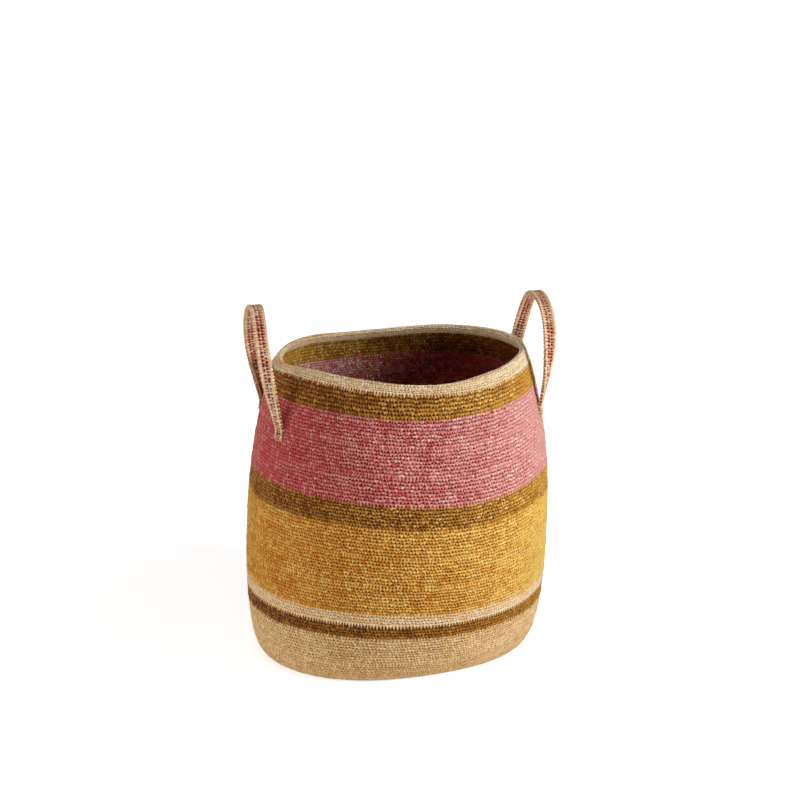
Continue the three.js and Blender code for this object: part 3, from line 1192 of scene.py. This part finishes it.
def on_wall(angle, height):
    """Point on the outside of the wall, with its direction round the basket and its normal."""
    around = unit(wall_point(angle + SMALL_TURN, height) - wall_point(angle - SMALL_TURN, height))
    upward = unit(wall_point(angle, height + SMALL_RISE) - wall_point(angle, height - SMALL_RISE))
    return wall_point(angle, height), around, unit(np.cross(around, upward))


print("wall:", round(float(wall_point(0, BELLY_HEIGHT)[0]), 3), "m from the middle on its right")

# %% [markdown]
# ## The feet of a strap
# Each handle is a strap that is sewn flat to the wall at two feet, one on each side of its middle. A
# foot follows the wall up to the line on which the strap swings. The sizes are those of the packed
# solids.

# %% Foot of a strap
HINGE_DROP = {"right": 0.0605, "left": 0.068}
HANDLE_ANGLE = {"right": math.radians(-1), "left": math.radians(180 - 7.5)}
FOOT_HALF_ANGLE = math.radians(23)
FOOT_REACH = 0.0105
FOOT_POINTS = 22
SEWING_GAP = 0.0003
COURSE_THICKNESS = 0.004


def foot_path(side, end):
    """Points of a strap's foot up to its hinge, and the direction of its width there."""
    hinge_height = WALL_HEIGHT - HINGE_DROP[side]
    angle = HANDLE_ANGLE[side] + end * FOOT_HALF_ANGLE
    heights = np.linspace(hinge_height - FOOT_REACH, hinge_height, FOOT_POINTS)
    stand_off = SEWING_GAP + COURSE_THICKNESS / 2
    points = []
    for height in heights:
        point, around, outward = on_wall(angle, height)
        points.append(point + outward * stand_off)
    return np.array(points), around


print("feet of", round(1000 * FOOT_REACH, 1), "mm below the hinge")

# %% [markdown]
# ## The path of a strap
# A strap turns on edge as it rises from its feet, so that the loop stands up. Its path runs up the
# wall, over in two curves and down again, and carries the direction of the strap's width with it.

# %% Strap path
LOOP_HEIGHT = {"right": 0.119, "left": 0.1285}
LEG_TILT = math.radians(14)
LEG_RISE = 0.090
LEG_POINTS = 150
ARCH_REACH = 0.032
ARCH_LEAN = 0.0155
TWIST_LENGTH = 0.110
UP = np.array([0, 0, 1.0])


def smooth_step(share):
    """From 0 to 1 with a soft start and end."""
    return share * share * (3 - 2 * share)


def strap_path(side):
    """Points of a strap from foot to foot, the direction of its width and the distance at each."""
    first, first_width = foot_path(side, -1)
    last, last_width = foot_path(side, 1)
    chord = last[-1] - first[-1]
    chord[2] = 0
    chord = unit(chord)
    out = np.cross(chord, UP)
    rise = UP * math.cos(LEG_TILT) + out * math.sin(LEG_TILT)
    top = (first[-1] + last[-1]) / 2 + out * ARCH_LEAN
    top[2] = WALL_HEIGHT - HINGE_DROP[side] + LOOP_HEIGHT[side]
    climb = (first[-1], first[-1] + rise * LEG_RISE, top - chord * ARCH_REACH, top)
    descent = (top, top + chord * ARCH_REACH, last[-1] + rise * LEG_RISE, last[-1])
    up_leg = bezier(*climb, count=LEG_POINTS)
    down_leg = bezier(*descent, count=LEG_POINTS)
    points = np.concatenate([first, up_leg[1:], down_leg[1:], last[::-1][1:]])
    length = distances(points)
    from_foot = np.minimum(length, length[-1] - length) - FOOT_REACH
    twist = smooth_step(np.clip(from_foot / TWIST_LENGTH, 0, 1))[:, None]
    foot_width = np.where((length < length[-1] / 2)[:, None], first_width, -last_width)
    return points, foot_width * (1 - twist) + out * twist, length


print("strap path:", round(float(strap_path("right")[2][-1]), 3), "m from end to end")

# %% [markdown]
# ## Stitches along a strap
# The stitches of a strap are of uneven length too. A strap bends without kinks, so its path is smoothed
# by averaging neighbours, and it thins towards its feet, where the sewing pulls it down.

# %% Line of a course
PATH_STEP = 0.001
BEND_SMOOTHING = 7
FOOT_TAPER = 0.012
FOOT_THIN = 0.6


def smooth_path(points, width):
    """Rounds the kinks of a path by averaging neighbours, with its ends kept."""
    kernel = np.hanning(2 * width + 1)
    kernel /= kernel.sum()
    padded = np.pad(points, ((width, width), (0, 0)), mode="reflect", reflect_type="odd")
    return np.stack([np.convolve(padded[:, k], kernel, "valid") for k in range(3)], -1)


def spread_stitches(length, stitches, rng):
    """Distance along a strap of each column of points, with stitches of uneven length."""
    columns = STITCH_GRID * stitches + 1
    strays = rng.uniform(-STITCH_STRAY, STITCH_STRAY, stitches + 1) * STITCH_WIDTH
    strays[[0, -1]] = 0
    even = np.linspace(0, length, columns)
    return even + np.interp(np.arange(columns) / STITCH_GRID, np.arange(stitches + 1), strays)


def course_frame(side, at):
    """Points along a strap, the directions of its width and thickness, and its thinning at the feet."""
    points, widths, length = strap_path(side)
    even = np.linspace(0, length[-1], round(length[-1] / PATH_STEP))
    path = read_off(at, even, smooth_path(read_off(even, length, points), BEND_SMOOTHING))
    along = unit(np.gradient(path, axis=0))
    width = read_off(at, length, widths)
    width = unit(width - along * (width * along).sum(1, keepdims=True))
    from_end = np.minimum(at, at[-1] - at)
    thinning = FOOT_THIN + (1 - FOOT_THIN) * np.clip(from_end / FOOT_TAPER, 0, 1)
    return path, width, np.cross(width, along), thinning


print("straps thin to", FOOT_THIN, "of their thickness")

# %% [markdown]
# ## The courses of a strap
# A strap is four courses of crochet side by side, pale at its edges. A course could be a swept curve,
# but its stitches have to show, so it is a net again. Its section is a rounded bar, with a stitch on
# its front and one on its back.

# %% Crochet a course
# Course, finish, row of the stitch at its side, and share of flecked stitches
STRAP_COURSES = (
    ("inner_edge", "cream", 0, 0.1),
    ("inner_pink", "pink", 2, 0.8),
    ("outer_pink", "pink", 2, 0.8),
    ("outer_edge", "cream", 0, 0.1),
)
COURSE_PITCH = 0.0038
SECTION_SQUARENESS = 0.65
SECTION_OVERLAP = 1.2
STRAP_RELIEF = 0.75
STRAP_FLECKS = 1.2
# Painted shade in the holes of a strap
STRAP_SHADE = 1.2
STRAP_TONE = {"right": 0.7, "left": 0.3}


def squared(value):
    """A sine or cosine with flatter tops, which turns a round section into a squarer one."""
    return np.sign(value) * np.abs(value) ** SECTION_SQUARENESS


def crochet_course(name, side, index, hole_row, fleck_share, rng):
    """One course of a strap, as a closed bar of stitches from foot to foot."""
    length = strap_path(side)[2][-1]
    stitches = round(length / STITCH_WIDTH)
    at = spread_stitches(length, stitches, rng)
    path, width, through, thinning = course_frame(side, at)
    shape = (2, stitches)
    row = np.arange(2 * FRONT_ROWS)
    column = np.arange(len(at))
    stitch = np.minimum(column // STITCH_GRID, stitches - 1)
    of_point = np.ix_(row // FRONT_ROWS, stitch)
    way = 1 if index % 2 else -1
    relief = front_stitch[(row + hole_row) % FRONT_ROWS][:, way * column % STITCH_GRID]
    tension = 1 + rng.uniform(-TENSION_SPREAD, TENSION_SPREAD, shape)
    bump = relief * STRAP_RELIEF * tension[of_point]
    holes = rng.uniform(*HOLE_SPREAD, shape)
    bump = np.where(bump < 0, bump * holes[of_point], bump)
    turn = 2 * math.pi * row[:, None] / len(row)
    across = squared(np.cos(turn)) * SECTION_OVERLAP * COURSE_PITCH / 2 + np.cos(turn) * bump
    across = across + (index - (len(STRAP_COURSES) - 1) / 2) * COURSE_PITCH
    raised = (squared(np.sin(turn)) * COURSE_THICKNESS / 2 + np.sin(turn) * bump) * thinning
    net = path + across[..., None] * width + raised[..., None] * through
    tone, fleck_and_glint = strip_tones(rng, 2 * stitches, fleck_share)
    tone = STRAP_TONE[side] + tone.reshape(shape)[of_point]
    fleck_and_glint = STRAP_FLECKS * fleck_and_glint.reshape(shape)[of_point]
    return net_mesh(name, net, paint_hole_shade(STRAP_SHADE * bump), tone, fleck_and_glint, ring=False)


print("a strap has", len(STRAP_COURSES), "courses")

# %% [markdown]
# ## The straps on their hinges
# A strap swings by bending just above its sewn feet. So each course follows the basket below the
# hinge line and the handle above it, and turns smoothly in between. The two pink courses also stand
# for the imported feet, because a strap runs through its feet without a break.

# %% Straps
STRAP_SEEDS = {"right": 400, "left": 410}
END_NAMES = {"right": ("front", "back"), "left": ("back", "front")}


def crochet_strap(side, seed):
    """The four courses of one handle, bending at the line through its feet."""
    for index, (course, finish, hole_row, fleck_share) in enumerate(STRAP_COURSES):
        rng = np.random.default_rng(seed + index)
        piece = crochet_course(f"{side}_strap_{course}", side, index, hole_row, fleck_share, rng)
        piece.data.materials.append(husk[f"strap_{finish}"])
        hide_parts(f"{side}_handle_{course}_course")
        if finish == "pink":
            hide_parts(*(f"{side}_{end}_foot" for end in END_NAMES[side]))
        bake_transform(piece)
        print(piece.name, triangles(piece), "triangles")


for side, seed in STRAP_SEEDS.items():
    crochet_strap(side, seed)

# %% [markdown]
# ## The sewing at the feet
# A length of husk yarn whips each foot to the wall. Each stitch of it comes out of the wall below
# the strap's end and goes over the end into the strap, a little to one side. Its height above the
# wall is worked out along the way, so that it lies close to both.

# %% Path of a whip stitch
WHIP_POINTS = 9
WHIP_BELOW = 0.0022
WHIP_ABOVE = 0.005
WHIP_SLANT = 0.0018
WHIP_STAND = 0.0002
WHIP_OVER = 1.05
CLIMB_START = 0.1
CLIMB_LENGTH = 0.45
DIVE_START = 0.75
DIVE_DEPTH = 0.0014


def whip_stitch(angle, foot_end, across):
    """Path of one sewing stitch over a strap's end, at a place across the strap."""
    over = COURSE_THICKNESS * FOOT_THIN * WHIP_OVER
    path = []
    for share in np.linspace(0, 1, WHIP_POINTS):
        height = foot_end - WHIP_BELOW + (WHIP_ABOVE + WHIP_BELOW) * share
        point, around, outward = on_wall(angle, height)
        climbed = min(1, max(0, (share - CLIMB_START) / CLIMB_LENGTH))
        dived = max(0, (share - DIVE_START) / (1 - DIVE_START))
        stand = WHIP_STAND + over * smooth_step(climbed) - DIVE_DEPTH * dived ** 2
        path.append(point + around * (across + WHIP_SLANT * (share - 0.5)) + outward * stand)
    return np.array(path)


print("whip stitches", round(1000 * (WHIP_BELOW + WHIP_ABOVE), 1), "mm long")

# %% [markdown]
# ## Sewing all four feet
# Five stitches hold a foot. Each is a thin tube along its path, with only six sides, because it is
# thinner than a match. They are joined into one piece, and its faces are turned outwards.

# %% Sew the feet
WHIP_STITCHES = 5
WHIP_RADIUS = 0.0007
WHIP_SIDES = 6
WHIP_SPAN = 1.6
WHIP_TONES = 0.4
SEWING_SEED = 500
OFF_UPRIGHT = 0.01


def sew_foot(side, end, angle, seed):
    """The sewing of one foot, as one piece."""
    rng = np.random.default_rng(seed)
    shape = (WHIP_SIDES, WHIP_POINTS)
    foot_end = WALL_HEIGHT - HINGE_DROP[side] - FOOT_REACH
    half_span = WHIP_SPAN * COURSE_PITCH
    turn = 2 * math.pi * np.arange(WHIP_SIDES)[:, None, None] / WHIP_SIDES
    loops = []
    for number, across in enumerate(np.linspace(-half_span, half_span, WHIP_STITCHES)):
        path = whip_stitch(angle, foot_end, across)
        along = unit(np.gradient(path, axis=0))
        side_way = unit(np.cross(along, UP + OFF_UPRIGHT))
        other_way = np.cross(side_way, along)
        net = path + WHIP_RADIUS * (side_way * np.cos(turn) + other_way * np.sin(turn))
        tone = np.full(shape, rng.normal(0, WHIP_TONES))
        loop = net_mesh(f"whip_{number}", net, np.zeros(shape), tone, np.zeros(shape), ring=False)
        loops.append(loop)
    piece = join_pieces(loops, f"{side}_{end}_sewing")
    bpy.ops.object.mode_set(mode="EDIT")
    bpy.ops.mesh.select_all(action="SELECT")
    bpy.ops.mesh.normals_make_consistent(inside=False)
    bpy.ops.object.mode_set(mode="OBJECT")
    mount_piece(piece, "cream", f"{side}_{end}_foot_seam")


for side, ends in END_NAMES.items():
    for number, end in enumerate(ends):
        foot_angle = HANDLE_ANGLE[side] + (2 * number - 1) * FOOT_HALF_ANGLE
        sew_foot(side, end, foot_angle, SEWING_SEED + number)
print("sewing:", WHIP_STITCHES, "stitches at each foot")
